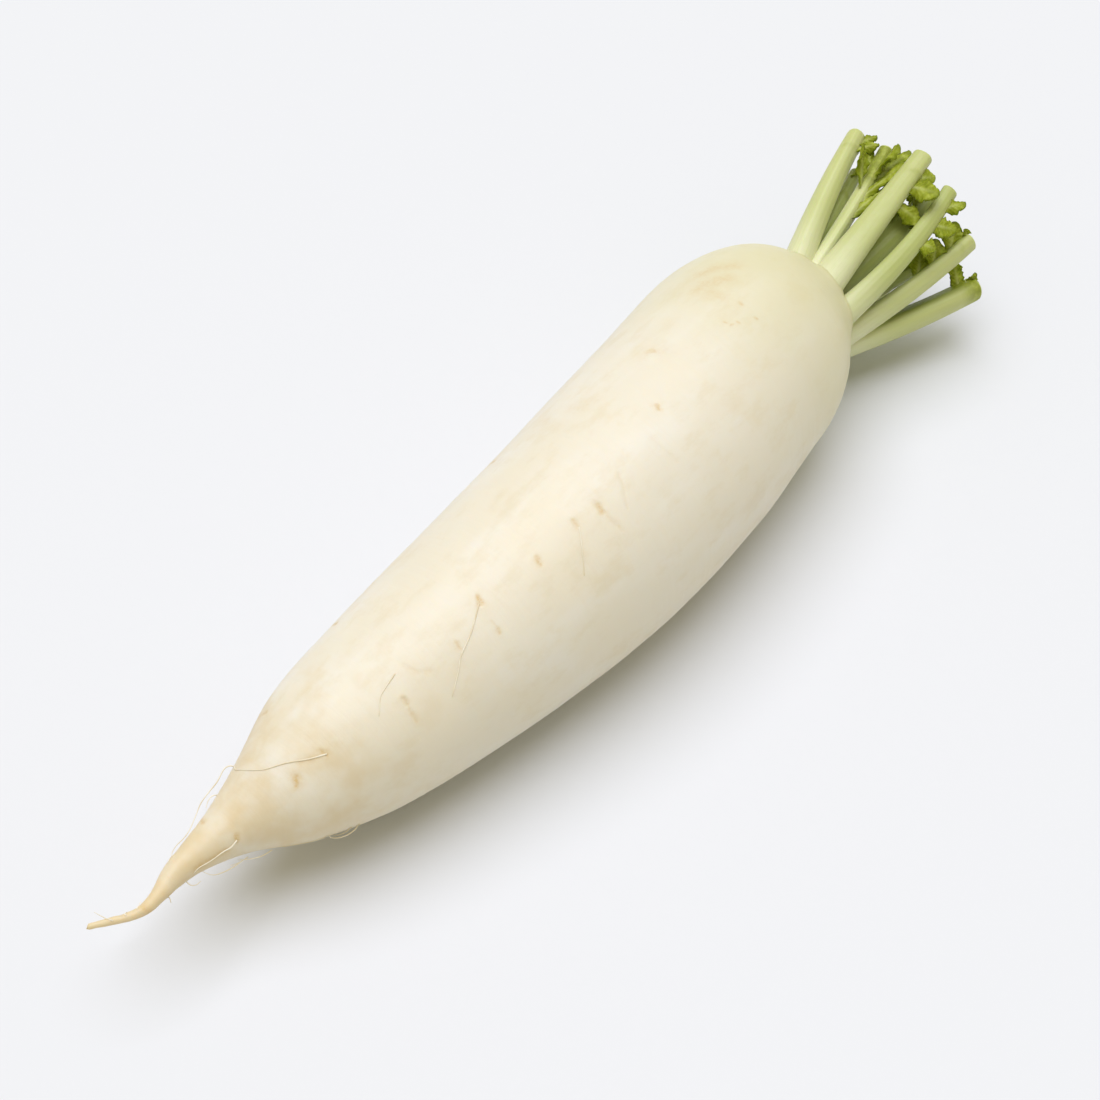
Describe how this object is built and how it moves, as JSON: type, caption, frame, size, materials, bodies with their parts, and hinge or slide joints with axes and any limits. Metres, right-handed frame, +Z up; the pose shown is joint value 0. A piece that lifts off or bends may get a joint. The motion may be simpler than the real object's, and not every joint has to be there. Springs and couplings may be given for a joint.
{
  "type": "daikon radish",
  "caption": "Long white daikon radish lying on its side, with a thin curved tail and a bunch of cut pale green leaf stalks with small ruffled leaf remnants on its crown.",
  "frame": {"origin": "middle of the small flat spot under the thickest part of the root, on the surface that it lies on", "axes": "+X along the root from its tail towards the crown and its leaf stalks, +Z up from the surface, +Y to the side that the tail and the crown bend to"},
  "size_m": [0.3765, 0.0834, 0.0731],
  "materials": {
    "root_skin": "smooth, waxy, creamy white skin, slightly translucent, with fine root scars and a faint green tint at the crown",
    "leaf_stalk": "crisp pale green stalk with fine lengthwise ribs, whiter at its foot, with darker green ruffled leaf lobes"
  },
  "bodies": {
    "root": {"taproot": "root_skin", "leaf_stalk_01": "leaf_stalk", "leaf_stalk_02": "leaf_stalk", "leaf_stalk_03": "leaf_stalk", "leaf_stalk_04": "leaf_stalk", "leaf_stalk_05": "leaf_stalk", "leaf_stalk_06": "leaf_stalk", "leaf_stalk_07": "leaf_stalk", "leaf_stalk_08": "leaf_stalk", "leaf_stalk_09": "leaf_stalk", "leaf_stalk_10": "leaf_stalk", "leaf_stalk_11": "leaf_stalk", "leaf_stalk_12": "leaf_stalk", "leaf_stalk_13": "leaf_stalk"}
  },
  "joints": []
}
